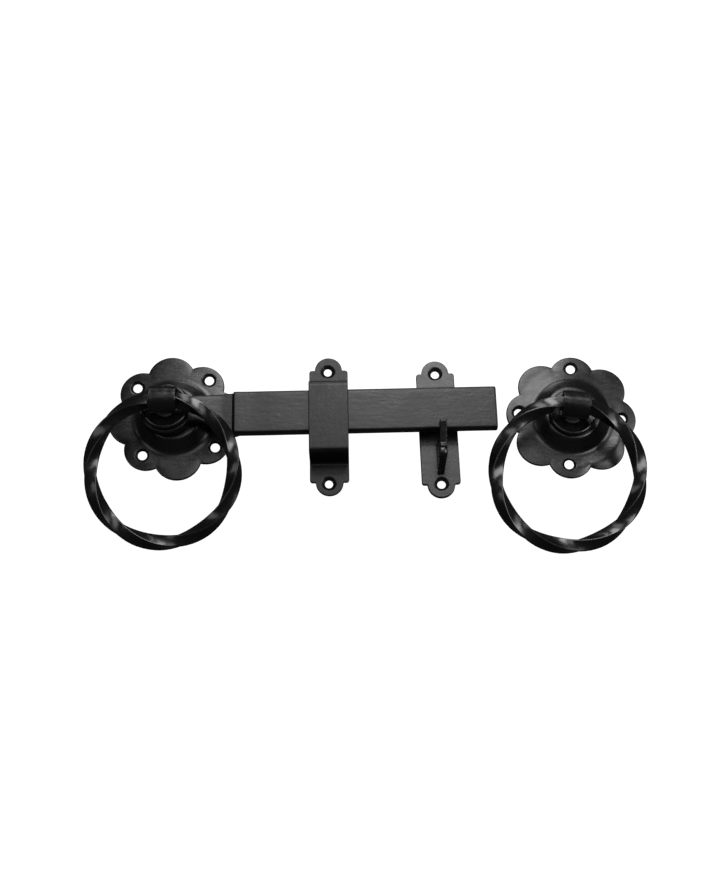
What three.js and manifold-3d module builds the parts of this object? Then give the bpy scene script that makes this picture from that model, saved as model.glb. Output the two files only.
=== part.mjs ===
// Twisted-ring gate latch set, laid out as on the gate's face: a latch with its inner ring handle,
// a guide strap, a hooked catch, and the outer ring handle with its spindle beside them.
// Millimetres. Z = 0 is the gate's face, +Z points away from it, +Y is up the gate, and the origin
// is the latch's pivot axis.
import * as THREE from 'three';
import { mergeVertices } from 'three/addons/utils/BufferGeometryUtils.js';
import Module from 'manifold-3d';

const wasm = await Module();
wasm.setup();

// ---- driving dimensions -------------------------------------------------------------------------

const DEGREE = Math.PI / 180;
const CUT_MARGIN = 1; // how far a cutter runs past the face that it cuts
const GAP = 0.3; // clearance between pieces that touch on the real object

// Roses: pressed eight-lobed plates with a raised conical dome.
const SHEET = 2.0;
const LOBES = 8;
const CUSP_RADIUS = 32.4;
const DRILLED_TIP_RADIUS = 37.6;
const PLAIN_TIP_RADIUS = 38.3;
const DRILLED_HALF_ANGLE = 21.5 * DEGREE;
const ROSE_HOLE_CIRCLE = 59.3;
const DOME_FOOT_RADIUS = 23.4;
const DOME_CREST_RADIUS = 15.9;
const DOME_CREST_Z = 8.5;
const ROSE_BORE_RADIUS = 10.9;
// The hole circle is struck a little off the dome's centre: holeShift is along X and Y of the set.
const INNER_ROSE = { x: 3.3, y: -0.2, turn: 51.65 * DEGREE, holeShift: [0.9, 0.3] };
const OUTER_ROSE = { x: 233.2, y: 0.5, turn: -3.7 * DEGREE, holeShift: [-0.6, 0.5] };

// Countersunk screw holes.
const SCREW_HOLE_RADIUS = 2.65;
const COUNTERSINK_RADIUS = 4.2;
const COUNTERSINK_DEPTH = 1.5;

// Latch bar: hub and narrow arm, a joggle, then the flat bar.
const BAR_TILT = 1.35 * DEGREE;
const BAR_WIDTH = 25.9;
const BAR_BOTTOM_Z = 10;
const BAR_TOP_Z = 16;
const BAR_OFFSET_Y = -3.0;
const BAR_END_X = 188.9;
const STEP_X = 39.4;
const STEP_DIP = 2.3;
const ARM_HALF_WIDTH = 8.35;
const HUB_RADIUS = 15;
const HUB_BORE_RADIUS = 6.8;

// Handles: dished collar, rolled eye on a hollow shank, twisted ring.
const JOURNAL_RADIUS = 6.4;
const JOURNAL_FOOT_Z = 0.5;
const SOCKET_SIDE = 8.1;
const COLLAR_RADIUS = 13.8;
const COLLAR_HEIGHT = 3.4;
const EYE_RADIUS = 7.6;
const EYE_BORE_RADIUS = 5.8;
const EYE_LENGTH = 15.7;
const NECK_WIDTH = 9.5;
const NECK_FOOT_LENGTH = 11;
const RING_RADIUS = 40.3;
const RING_BAR_SIDE = 7;
const RING_BAR_CHAMFER = 0.7;
const RING_TWISTS = -2; // turns of the square section in one round of the ring
const RING_HANG = 39.9; // from the eye's axis to the ring's centre
const RING_STEPS = 80;
const TWIST_UNEVEN = 9 * DEGREE; // hand-made twist: most of its lead and lag

const INNER_HANDLE = {
  x: 0, y: 0.3, turn: 0, collarZ: 16.3, eyeZ: 28.9,
  ringDroop: 17.7 * DEGREE, ringYaw: 0, twistPhase: 18.6 * DEGREE, unevenAt: 270 * DEGREE,
};
const OUTER_HANDLE = {
  x: 232.7, y: -0.6, turn: -6 * DEGREE, collarZ: 8.8, eyeZ: 23.5,
  ringDroop: 13.6 * DEGREE, ringYaw: -1.8 * DEGREE, twistPhase: 23 * DEGREE, unevenAt: 235 * DEGREE,
};

// Pieces behind the roses that keep the handles in.
const BACK_WASHER = { inner: 6.7, outer: 12, bottomZ: 2.4, thickness: 1.4 };
const THRUST_WASHER = { inner: 6.8, outer: 13.6, bottomZ: 8.75, thickness: 1.0 };
const CLIP = { inner: 6.2, outer: 8.8, bottomZ: 1.0, thickness: 1.0, mouth: 5 };
const CLIP_GROOVE_RADIUS = 5.9;
const SPINDLE_SIDE = 7.5;
const SPINDLE_TOP_Z = 11;
const SPINDLE_END_Z = -62;
const CROSS_PIN_RADIUS = 1.25;
const CROSS_PIN_Z = 6;

// Guide strap that the bar runs under.
const STRAP = { x: 92.9, y: -5.2, turn: 1.0 * DEGREE };
const STRAP_END = { width: 22.5, line: 34.6, radius: 7.9, holeShift: [-0.4, -0.8], holeRadius: 2.3 };
const STRAP_HOLE_REACH = 34.5;
const STRAP_BRIDGE_HALF = 21.75;
const STRAP_TOP_Z = 20;
const STRAP_BEND = 4;

// Catch: plate with a hook standing on edge.
const CATCH = { x: 155.9, y: -7, turn: 2.1 * DEGREE };
const CATCH_END = { width: 22.2, line: 34.1, radius: 7.9, holeShift: [0.1, 0], holeRadius: 2.45 };
const CATCH_HOLE_REACH = 33.9;
const CATCH_SHEET = 2.8;
const HOOK_THICKNESS = 4;
const HOOK_OFFSET_X = 0;
const HOOK_LEAN = 4.5; // degrees towards +X
const HOOK_TENON = { from: -25.5, to: -13.5 };

// ---- geometry helpers ---------------------------------------------------------------------------

/** Closed solid from a geometry: positions only, shared corners merged, empty triangles dropped. */
function solid(geometry) {
  const bare = geometry.clone();
  bare.deleteAttribute('normal');
  bare.deleteAttribute('uv');
  const merged = mergeVertices(bare, 1e-4);
  const corners = merged.index.array;
  const kept = [];
  for (let i = 0; i < corners.length; i += 3) {
    const [a, b, c] = [corners[i], corners[i + 1], corners[i + 2]];
    if (a !== b && b !== c && c !== a) {
      kept.push(a, b, c);
    }
  }
  const vertProperties = new Float32Array(merged.attributes.position.array);
  return new wasm.Manifold(new wasm.Mesh({ numProp: 3, vertProperties, triVerts: new Uint32Array(kept) }));
}

/** Drawable geometry of a solid. */
function geometryOf(body) {
  const mesh = body.getMesh();
  const geometry = new THREE.BufferGeometry();
  geometry.setAttribute('position', new THREE.BufferAttribute(new Float32Array(mesh.vertProperties), 3));
  geometry.setIndex(new THREE.BufferAttribute(new Uint32Array(mesh.triVerts), 1));
  geometry.computeVertexNormals();
  return geometry;
}

/** Outline through corners [x, y, radius]; each corner is rounded by its own radius. */
function roundedOutline(corners) {
  const shape = new THREE.Shape();
  corners.forEach(([x, y, radius = 0], index) => {
    const corner = new THREE.Vector2(x, y);
    const before = corners.at(index - 1);
    const after = corners[(index + 1) % corners.length];
    const back = new THREE.Vector2(before[0], before[1]).sub(corner).normalize();
    const ahead = new THREE.Vector2(after[0], after[1]).sub(corner).normalize();
    const halfAngle = Math.acos(THREE.MathUtils.clamp(back.dot(ahead), -1, 1)) / 2;
    const reach = radius / Math.tan(halfAngle);
    const start = corner.clone().addScaledVector(back, reach);
    const end = corner.clone().addScaledVector(ahead, reach);
    if (index === 0) {
      shape.moveTo(start.x, start.y);
    } else {
      shape.lineTo(start.x, start.y);
    }
    if (radius > 0) {
      shape.quadraticCurveTo(corner.x, corner.y, end.x, end.y);
    }
  });
  shape.closePath();
  return shape;
}

/** Plan outline made into a plate from z = bottom to z = top. */
function plate(shape, bottom, top, curveSegments = 6) {
  const geometry = new THREE.ExtrudeGeometry(shape, { depth: top - bottom, bevelEnabled: false, curveSegments });
  return solid(geometry.translate(0, 0, bottom));
}

/** Side outline in (y, z), swept along X over width, centred on x = 0. */
function sweptAlongX(shape, width, curveSegments = 6) {
  const geometry = new THREE.ExtrudeGeometry(shape, { depth: width, bevelEnabled: false, curveSegments });
  geometry.translate(0, 0, -width / 2);
  const axes = new THREE.Matrix4().makeBasis(
    new THREE.Vector3(0, 1, 0), new THREE.Vector3(0, 0, 1), new THREE.Vector3(1, 0, 0),
  );
  return solid(geometry.applyMatrix4(axes));
}

/** Side outline in (x, z), swept along Y over width, centred on y = 0. */
function sweptAlongY(shape, width, curveSegments = 6) {
  const geometry = new THREE.ExtrudeGeometry(shape, { depth: width, bevelEnabled: false, curveSegments });
  geometry.translate(0, 0, -width / 2);
  return solid(geometry.rotateX(Math.PI / 2));
}

/** Profile of [radius, z] points, from the lowest to the highest, turned about the Z axis. */
function turned(profile, segments = 36) {
  const points = profile.map(([radius, z]) => new THREE.Vector2(radius, z));
  return solid(new THREE.LatheGeometry(points, segments).rotateX(Math.PI / 2));
}

/** Round bar about the Z axis from z = bottom to z = top. */
function round(radius, bottom, top, segments = 36) {
  return turned([[0, bottom], [radius, bottom], [radius, top], [0, top]], segments);
}

/** Flat washer about the Z axis. */
function washer({ inner, outer, bottomZ, thickness }, segments = 28) {
  const disc = round(outer, bottomZ, bottomZ + thickness, segments);
  return disc.subtract(round(inner, bottomZ - CUT_MARGIN, bottomZ + thickness + CUT_MARGIN, segments));
}

/** Box from its lowest to its highest corner. */
function box(low, high) {
  const geometry = new THREE.BoxGeometry(high[0] - low[0], high[1] - low[1], high[2] - low[2]);
  geometry.translate((low[0] + high[0]) / 2, (low[1] + high[1]) / 2, (low[2] + high[2]) / 2);
  return solid(geometry);
}

/** Cutter for a countersunk screw hole through a sheet from z = 0 to z = sheet. */
function screwHole(x, y, sheet, radius = SCREW_HOLE_RADIUS) {
  const spread = (COUNTERSINK_RADIUS - radius) / COUNTERSINK_DEPTH;
  const cutter = turned([
    [0, -CUT_MARGIN],
    [radius, -CUT_MARGIN],
    [radius, sheet - COUNTERSINK_DEPTH],
    [COUNTERSINK_RADIUS + spread * CUT_MARGIN, sheet + CUT_MARGIN],
    [0, sheet + CUT_MARGIN],
  ], 20);
  return cutter.translate([x, y, 0]);
}

// ---- roses --------------------------------------------------------------------------------------

/** Eight arcs that meet in cusps; even lobes are drilled and odd lobes are plain. */
function roseOutline() {
  const shape = new THREE.Shape();
  for (let lobe = 0; lobe < LOBES; lobe += 1) {
    const drilled = lobe % 2 === 0;
    const axis = lobe * (2 * Math.PI / LOBES);
    const tip = drilled ? DRILLED_TIP_RADIUS : PLAIN_TIP_RADIUS;
    const half = drilled ? DRILLED_HALF_ANGLE : 2 * Math.PI / LOBES - DRILLED_HALF_ANGLE;
    const along = CUSP_RADIUS * Math.cos(half);
    const across = CUSP_RADIUS * Math.sin(half);
    const radius = ((tip - along) ** 2 + across ** 2) / (2 * (tip - along));
    const centre = tip - radius;
    const sweep = Math.atan2(across, along - centre);
    shape.absarc(centre * Math.cos(axis), centre * Math.sin(axis), radius, axis - sweep, axis + sweep, false);
  }
  return shape;
}

function rose({ turn, holeShift }) {
  const flange = plate(roseOutline(), 0, SHEET, 4);
  const dome = turned([
    [0, 0],
    [DOME_FOOT_RADIUS, 0],
    [DOME_FOOT_RADIUS, SHEET],
    [DOME_FOOT_RADIUS - 1.3, SHEET + 0.6],
    [DOME_CREST_RADIUS + 1.1, DOME_CREST_Z - 0.7],
    [DOME_CREST_RADIUS, DOME_CREST_Z - 0.15],
    [DOME_CREST_RADIUS - 1, DOME_CREST_Z],
    [0, DOME_CREST_Z],
  ], 48);
  const hollow = turned([
    [0, -CUT_MARGIN],
    [DOME_FOOT_RADIUS - 2.6, -CUT_MARGIN],
    [DOME_FOOT_RADIUS - 2.6, 0],
    [DOME_FOOT_RADIUS - 3.4, 0.6],
    [DOME_CREST_RADIUS - 1.4, DOME_CREST_Z - SHEET],
    [0, DOME_CREST_Z - SHEET],
  ], 32);
  let body = flange.add(dome).subtract(hollow);
  body = body.subtract(round(ROSE_BORE_RADIUS, 0, DOME_CREST_Z + CUT_MARGIN));
  const shift = new THREE.Vector2(...holeShift).rotateAround(new THREE.Vector2(), -turn);
  for (let hole = 0; hole < LOBES / 2; hole += 1) {
    const angle = hole * (4 * Math.PI / LOBES);
    const reach = ROSE_HOLE_CIRCLE / 2;
    const x = shift.x + reach * Math.cos(angle);
    const y = shift.y + reach * Math.sin(angle);
    body = body.subtract(screwHole(x, y, SHEET));
  }
  return body;
}

// ---- latch bar ----------------------------------------------------------------------------------

function latchBar() {
  const halfWidth = BAR_WIDTH / 2;
  const lower = BAR_OFFSET_Y - halfWidth;
  const upper = BAR_OFFSET_Y + halfWidth;
  const plan = roundedOutline([
    [0, -ARM_HALF_WIDTH],
    [17.5, -ARM_HALF_WIDTH, 8],
    [28, -10.2, 12],
    [STEP_X, lower, 3],
    [BAR_END_X, lower, 1],
    [BAR_END_X, upper, 1],
    [STEP_X, upper, 8],
    [17.5, ARM_HALF_WIDTH, 6],
    [0, ARM_HALF_WIDTH],
  ]);
  const dipTop = BAR_TOP_Z - STEP_DIP;
  const dipBottom = BAR_BOTTOM_Z - STEP_DIP;
  const side = roundedOutline([
    [-HUB_RADIUS - CUT_MARGIN, BAR_BOTTOM_Z],
    [21, BAR_BOTTOM_Z, 4],
    [34, dipBottom, 2],
    [38, dipBottom, 1.5],
    [42, BAR_BOTTOM_Z, 2],
    [BAR_END_X + CUT_MARGIN, BAR_BOTTOM_Z],
    [BAR_END_X + CUT_MARGIN, BAR_TOP_Z],
    [STEP_X - 0.6, BAR_TOP_Z, 1.3],
    [STEP_X - 1.2, dipTop, 0.5],
    [31, dipTop + 0.2, 6],
    [15, BAR_TOP_Z, 6],
    [-HUB_RADIUS - CUT_MARGIN, BAR_TOP_Z],
  ]);
  const outline = plate(plan, 0, BAR_TOP_Z + CUT_MARGIN).add(round(HUB_RADIUS, 0, BAR_TOP_Z + CUT_MARGIN, 64));
  const forging = outline.intersect(sweptAlongY(side, 4 * BAR_WIDTH));
  return forging.subtract(round(HUB_BORE_RADIUS, 0, BAR_TOP_Z + CUT_MARGIN));
}

// ---- handles ------------------------------------------------------------------------------------

/** Dished collar round the neck of the eye, standing on z = 0. */
function collar() {
  const dish = turned([
    [0, 0],
    [COLLAR_RADIUS - 0.7, 0],
    [COLLAR_RADIUS, 1],
    [COLLAR_RADIUS - 0.5, 2.3],
    [COLLAR_RADIUS - 2.3, COLLAR_HEIGHT],
    [COLLAR_RADIUS - 3.4, COLLAR_HEIGHT - 0.2],
    [JOURNAL_RADIUS + 1.6, COLLAR_HEIGHT - 1.4],
    [0, COLLAR_HEIGHT - 1.4],
  ], 40);
  return dish.subtract(round(JOURNAL_RADIUS + GAP, -CUT_MARGIN, COLLAR_HEIGHT + CUT_MARGIN));
}

/** Rolled eye, its neck and its hollow round shank; z is measured from the gate's face. */
function eye({ collarZ, eyeZ }) {
  const neckFoot = collarZ + COLLAR_HEIGHT + 0.5;
  const cheekTop = eyeZ - 4;
  const halfNeck = NECK_WIDTH / 2;
  const side = roundedOutline([
    [-halfNeck, neckFoot], [halfNeck, neckFoot], [halfNeck + 0.9, cheekTop], [-halfNeck - 1.4, cheekTop],
  ]);
  const front = roundedOutline([
    [-NECK_FOOT_LENGTH / 2, neckFoot], [NECK_FOOT_LENGTH / 2, neckFoot],
    [EYE_LENGTH / 2, neckFoot + 2.4, 2], [EYE_LENGTH / 2, cheekTop],
    [-EYE_LENGTH / 2, cheekTop], [-EYE_LENGTH / 2, neckFoot + 2.4, 2],
  ]);
  const neck = sweptAlongX(side, EYE_LENGTH).intersect(sweptAlongY(front, 4 * EYE_RADIUS));
  const shank = round(JOURNAL_RADIUS, JOURNAL_FOOT_Z, neckFoot + GAP);
  const foot = round(NECK_WIDTH / 2, neckFoot - GAP, neckFoot + 1);
  const acrossEye = (body) => body.rotate([0, 90, 0]).translate([0, 0, eyeZ]);
  const barrel = acrossEye(round(EYE_RADIUS, -EYE_LENGTH / 2, EYE_LENGTH / 2));
  const bore = acrossEye(round(EYE_BORE_RADIUS, -EYE_LENGTH, EYE_LENGTH));
  const groove = washer({
    inner: CLIP_GROOVE_RADIUS,
    outer: JOURNAL_RADIUS + CUT_MARGIN,
    bottomZ: CLIP.bottomZ - GAP,
    thickness: CLIP.thickness + 2 * GAP,
  }, 36);
  const socket = box(
    [-SOCKET_SIDE / 2, -SOCKET_SIDE / 2, -CUT_MARGIN],
    [SOCKET_SIDE / 2, SOCKET_SIDE / 2, SPINDLE_TOP_Z + GAP],
  );
  return barrel.add(neck).add(shank).add(foot).subtract(bore).subtract(groove).subtract(socket);
}

/** Square bar twisted as it goes round; the ring lies in XY about its own centre. */
function twistedRing({ twistPhase, unevenAt }) {
  const half = RING_BAR_SIDE / 2;
  const inset = half - RING_BAR_CHAMFER;
  const section = [
    [half, -inset], [half, inset], [inset, half], [-inset, half],
    [-half, inset], [-half, -inset], [-inset, -half], [inset, -half],
  ];
  const geometry = new THREE.TorusGeometry(RING_RADIUS, half, section.length, RING_STEPS);
  const position = geometry.attributes.position;
  for (let side = 0; side <= section.length; side += 1) {
    const [u, v] = section[side % section.length];
    for (let step = 0; step <= RING_STEPS; step += 1) {
      const turn = step / RING_STEPS * 2 * Math.PI;
      const twist = twistPhase + RING_TWISTS * turn + TWIST_UNEVEN * Math.cos(turn - unevenAt);
      const outward = u * Math.cos(twist) - v * Math.sin(twist);
      const upward = u * Math.sin(twist) + v * Math.cos(twist);
      const reach = RING_RADIUS + outward;
      position.setXYZ(side * (RING_STEPS + 1) + step, reach * Math.cos(turn), reach * Math.sin(turn), upward);
    }
  }
  return solid(geometry);
}

/** Open spring clip in the shank's groove. */
function retainingClip() {
  const mouth = box([-CLIP.mouth, -2 * CLIP.outer, 0], [CLIP.mouth, 0, 2 * CLIP.outer]);
  return washer(CLIP).subtract(mouth);
}

function spindle() {
  const half = SPINDLE_SIDE / 2;
  const tip = half - 1.5;
  const sideX = roundedOutline([
    [-tip, SPINDLE_END_Z], [tip, SPINDLE_END_Z], [half, SPINDLE_END_Z + 3], [half, SPINDLE_TOP_Z],
    [-half, SPINDLE_TOP_Z], [-half, SPINDLE_END_Z + 3],
  ]);
  const bar = sweptAlongX(sideX, SPINDLE_SIDE).intersect(sweptAlongY(sideX, SPINDLE_SIDE));
  return bar.subtract(crossPin(CROSS_PIN_RADIUS + 0.2, 2 * JOURNAL_RADIUS));
}

/** Pin across the shank, along X. */
function crossPin(radius, length) {
  return round(radius, -length / 2, length / 2, 16).rotate([0, 90, 0]).translate([0, 0, CROSS_PIN_Z]);
}

// ---- strap and catch ----------------------------------------------------------------------------

/** Plan of a strap: full width to the hole line, then a smaller round end past each shoulder. */
function shoulderedOutline({ width, line, radius }) {
  const shoulder = 1.5;
  const half = width / 2;
  const shape = new THREE.Shape();
  shape.moveTo(half, -line + shoulder);
  shape.lineTo(half, line - shoulder);
  shape.quadraticCurveTo(half, line, half - shoulder, line);
  shape.lineTo(radius, line);
  shape.absarc(0, line, radius, 0, Math.PI, false);
  shape.lineTo(-half + shoulder, line);
  shape.quadraticCurveTo(-half, line, -half, line - shoulder);
  shape.lineTo(-half, -line + shoulder);
  shape.quadraticCurveTo(-half, -line, -half + shoulder, -line);
  shape.lineTo(-radius, -line);
  shape.absarc(0, -line, radius, Math.PI, 2 * Math.PI, false);
  shape.lineTo(half - shoulder, -line);
  shape.quadraticCurveTo(half, -line, half, -line + shoulder);
  return shape;
}

/** Drills both ends of a shouldered plate; the holes sit a little off the ends' arcs. */
function drillEnds(body, { holeShift, holeRadius }, holeReach, sheet) {
  const [shiftX, shiftY] = holeShift;
  const upper = screwHole(shiftX, holeReach + shiftY, sheet, holeRadius);
  const lower = screwHole(shiftX, -holeReach + shiftY, sheet, holeRadius);
  return body.subtract(upper).subtract(lower);
}

function guideStrap() {
  const reach = STRAP_END.line + STRAP_END.radius + CUT_MARGIN;
  const outer = STRAP_BRIDGE_HALF;
  const inner = outer - SHEET;
  const side = roundedOutline([
    [-reach, 0], [-inner, 0, STRAP_BEND], [-inner, STRAP_TOP_Z - SHEET, STRAP_BEND - SHEET],
    [inner, STRAP_TOP_Z - SHEET, STRAP_BEND - SHEET], [inner, 0, STRAP_BEND], [reach, 0],
    [reach, SHEET], [outer, SHEET, STRAP_BEND - SHEET], [outer, STRAP_TOP_Z, STRAP_BEND],
    [-outer, STRAP_TOP_Z, STRAP_BEND], [-outer, SHEET, STRAP_BEND - SHEET], [-reach, SHEET],
  ]);
  const plan = plate(shoulderedOutline(STRAP_END), -CUT_MARGIN, STRAP_TOP_Z + CUT_MARGIN, 10);
  const body = sweptAlongX(side, 2 * STRAP_END.width).intersect(plan);
  return drillEnds(body, STRAP_END, STRAP_HOLE_REACH, SHEET);
}

function tenonSlot(clearance) {
  const halfX = HOOK_THICKNESS / 2 + clearance;
  return box(
    [HOOK_OFFSET_X - halfX, HOOK_TENON.from - clearance, -CUT_MARGIN],
    [HOOK_OFFSET_X + halfX, HOOK_TENON.to + clearance, CATCH_SHEET + CUT_MARGIN],
  );
}

function catchPlate() {
  const body = plate(shoulderedOutline(CATCH_END), 0, CATCH_SHEET, 10).subtract(tenonSlot(GAP));
  return drillEnds(body, CATCH_END, CATCH_HOLE_REACH, CATCH_SHEET);
}

/** Hook plate on edge: back, nose over the notch, and a tenon down through the catch plate. */
function catchHook() {
  const foot = CATCH_SHEET + GAP;
  const buried = foot - CUT_MARGIN;
  const side = roundedOutline([
    [-28.9, buried, 0.8], [-10.5, buried], [-10.5, 18.5, 1.5], [-2.4, 18.5, 1], [-2.4, 25.4, 1.6],
    [-15.2, 20.0, 1.2], [-17.0, 20.7, 0.8], [-23.3, 15, 4],
  ]);
  const aboveFoot = box([-BAR_WIDTH, -2 * BAR_WIDTH, foot], [BAR_WIDTH, BAR_WIDTH, 2 * BAR_WIDTH]);
  const blade = sweptAlongX(side, HOOK_THICKNESS, 8).translate([0, 0, -foot]).rotate([0, HOOK_LEAN, 0]);
  const tenon = roundedOutline([
    [HOOK_TENON.from, GAP], [HOOK_TENON.to, GAP], [HOOK_TENON.to, foot + 1], [HOOK_TENON.from, foot + 1],
  ]);
  const body = blade.translate([0, 0, foot]).intersect(aboveFoot).add(sweptAlongX(tenon, HOOK_THICKNESS - 0.4));
  return body.translate([HOOK_OFFSET_X, 0, 0]);
}

// ---- assembly -----------------------------------------------------------------------------------

const PAINT = { roughness: 0.42, metalness: 0.35 };
const set = new THREE.Group();

/** Named piece in its own black-painted material, placed at x, y and turned about Z. */
function piece(name, body, place, colour = 0x2b2b2d) {
  const mesh = new THREE.Mesh(geometryOf(body), new THREE.MeshStandardMaterial({ color: colour, ...PAINT }));
  mesh.name = name;
  mesh.position.set(place.x, place.y, 0);
  mesh.rotation.z = place.turn;
  return mesh;
}

const latchPlace = { x: 0, y: 0, turn: BAR_TILT };

set.add(piece('inner_rose', rose(INNER_ROSE), INNER_ROSE));
set.add(piece('outer_rose', rose(OUTER_ROSE), OUTER_ROSE));
set.add(piece('guide_strap', guideStrap(), STRAP, 0x303032));
set.add(piece('catch_plate', catchPlate(), CATCH));
set.add(piece('catch_hook', catchHook(), CATCH, 0x303032));
set.add(piece('latch_bar', latchBar(), latchPlace, 0x303032));
set.add(piece('inner_thrust_washer', washer(THRUST_WASHER), INNER_HANDLE));
set.add(piece('spindle', spindle(), OUTER_HANDLE, 0x8a8a88));
set.add(piece('spindle_cross_pin', crossPin(CROSS_PIN_RADIUS, 2 * JOURNAL_RADIUS - 0.8), OUTER_HANDLE, 0x8a8a88));

for (const [side, handle] of [['inner', INNER_HANDLE], ['outer', OUTER_HANDLE]]) {
  let eyeBody = eye(handle);
  if (side === 'outer') {
    eyeBody = eyeBody.subtract(crossPin(CROSS_PIN_RADIUS + 0.2, 4 * JOURNAL_RADIUS));
  }
  set.add(piece(`${side}_eye`, eyeBody, handle));
  set.add(piece(`${side}_collar`, collar().translate([0, 0, handle.collarZ]), handle));
  set.add(piece(`${side}_back_washer`, washer(BACK_WASHER), handle, 0x8a8a88));
  set.add(piece(`${side}_retaining_clip`, retainingClip(), handle, 0x8a8a88));

  const ring = piece(`${side}_ring`, twistedRing(handle), { x: 0, y: -RING_HANG, turn: 0 });
  const drooped = new THREE.Group();
  drooped.rotation.x = handle.ringDroop;
  drooped.add(ring);
  const hung = new THREE.Group();
  hung.position.set(handle.x, handle.y, handle.eyeZ);
  hung.rotation.z = handle.turn + handle.ringYaw;
  hung.add(drooped);
  set.add(hung);
}

export default set;
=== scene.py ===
"""Looks of the twisted-ring gate latch set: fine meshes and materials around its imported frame.

Sizes are in millimetres and are turned into metres where a mesh is made. Z = 0 is the gate's face,
and the origin is the latch's pivot axis.
"""

import math

import bmesh
import bpy
from mathutils import Matrix, Vector, noise


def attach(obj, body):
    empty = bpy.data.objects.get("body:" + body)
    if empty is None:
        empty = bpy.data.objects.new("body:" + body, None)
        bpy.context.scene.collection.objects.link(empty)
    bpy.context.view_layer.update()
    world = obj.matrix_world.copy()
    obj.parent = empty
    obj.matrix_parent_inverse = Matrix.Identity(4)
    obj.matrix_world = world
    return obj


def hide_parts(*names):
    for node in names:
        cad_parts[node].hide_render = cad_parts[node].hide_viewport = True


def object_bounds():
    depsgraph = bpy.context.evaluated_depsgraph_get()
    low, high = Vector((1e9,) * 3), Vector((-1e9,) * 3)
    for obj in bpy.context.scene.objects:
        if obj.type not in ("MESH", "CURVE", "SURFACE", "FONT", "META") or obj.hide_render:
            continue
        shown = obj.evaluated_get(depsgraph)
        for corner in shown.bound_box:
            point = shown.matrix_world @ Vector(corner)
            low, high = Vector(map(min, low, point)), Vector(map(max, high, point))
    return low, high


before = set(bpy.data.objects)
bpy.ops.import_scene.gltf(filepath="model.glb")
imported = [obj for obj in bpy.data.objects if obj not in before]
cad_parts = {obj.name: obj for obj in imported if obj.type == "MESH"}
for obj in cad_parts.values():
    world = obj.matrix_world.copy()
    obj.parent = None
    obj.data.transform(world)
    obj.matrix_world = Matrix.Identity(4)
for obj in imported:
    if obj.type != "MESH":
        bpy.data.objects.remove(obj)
CAD_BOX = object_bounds()

MM = 0.001

# ---- sizes, in millimetres ------------------------------------------------------------------

SHEET = 2.0
LOBES = 8
CUSP_RADIUS = 32.4
DRILLED_TIP_RADIUS = 37.6
PLAIN_TIP_RADIUS = 38.3
DRILLED_HALF_ANGLE = math.radians(21.5)
ROSE_HOLE_CIRCLE = 59.3
ROSE_BORE_RADIUS = 10.9
DOME_FOOT_RADIUS = 23.4
DOME_CREST_RADIUS = 15.9
DOME_CREST_Z = 8.5
DOME_UNDERSIDE_Z = 6.5
# The sheet round a dome's foot is pressed out of true by "press", up on the side that "lean" faces, in
# degrees, and down on the other, where "curl" also bends the rim down.
INNER_ROSE = {
    "x": 3.3, "y": -0.2, "turn": 51.65, "hole_shift": (0.9, 0.3),
    "lean": 75, "press": 0.3, "curl": 0.0,
}
OUTER_ROSE = {
    "x": 233.2, "y": 0.5, "turn": -3.7, "hole_shift": (-0.6, 0.5),
    "lean": 130, "press": 1.05, "curl": 0.7,
}

SCREW_HOLE_RADIUS = 2.65
COUNTERSINK_RADIUS = 4.2
COUNTERSINK_DEPTH = 1.5

BAR_TILT = 1.35
BAR_WIDTH = 25.9
BAR_BOTTOM_Z = 10.0
BAR_TOP_Z = 16.0
BAR_OFFSET_Y = -3.0
BAR_END_X = 188.9
BAR_END_ROUNDING = 1.0
BAR_CORNERS = {"far": 2.0, "near": 1.5, "under": 0.8}
STEP_X = 39.4
STEP_DIP = 2.3
STEP_HUMP = 0.32  # the bar's face swells a little beside the step
STEP_HUMP_LENGTH = 7
ARM_HALF_WIDTH = 8.35
HUB_RADIUS = 15.0
HUB_BORE_RADIUS = 6.8

JOURNAL_RADIUS = 6.4
JOURNAL_FOOT_Z = 0.5
CLIP_GROOVE_RADIUS = 5.95
SOCKET_SIDE = 8.1
SOCKET_TOP_Z = 11.3
COLLAR_RADIUS = 13.8
COLLAR_HEIGHT = 3.4
EYE_RADIUS = 7.6
EYE_BORE_RADIUS = 5.8
EYE_LENGTH = 15.7
NECK_WIDTH = 9.5
NECK_FOOT_LENGTH = 11.0
RING_RADIUS = 40.3
RING_BAR_SIDE = 7.0
RING_HANG = 39.9
RING_TWISTS = -2
TWIST_UNEVEN = math.radians(9)
INNER_HANDLE = {
    "x": 0.0, "y": 0.3, "turn": 0.0, "collar_z": 16.3, "eye_z": 28.9, "droop": 17.7, "ring_yaw": 0.0,
    "twist_phase": 18.6, "uneven_at": 270.0, "body": "latch", "ring_body": "inner_ring_body",
}
OUTER_HANDLE = {
    "x": 232.7, "y": -0.6, "turn": -6.0, "collar_z": 8.8, "eye_z": 23.5, "droop": 13.6, "ring_yaw": -1.8,
    "twist_phase": 23.0, "uneven_at": 235.0, "body": "outer_handle", "ring_body": "outer_ring_body",
}

BACK_WASHER = {"inner": 6.7, "outer": 12.0, "bottom": 2.4, "thickness": 1.4}
THRUST_WASHER = {"inner": 6.8, "outer": 13.6, "bottom": 8.75, "thickness": 1.0}
CLIP = {"inner": 6.2, "outer": 8.8, "bottom": 1.0, "thickness": 1.0, "mouth": 5.0}
SPINDLE_SIDE = 7.5
SPINDLE_TOP_Z = 11.0
SPINDLE_END_Z = -62.0
CROSS_PIN_RADIUS = 1.25
CROSS_PIN_LENGTH = 12.0
CROSS_PIN_Z = 6.0

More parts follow.
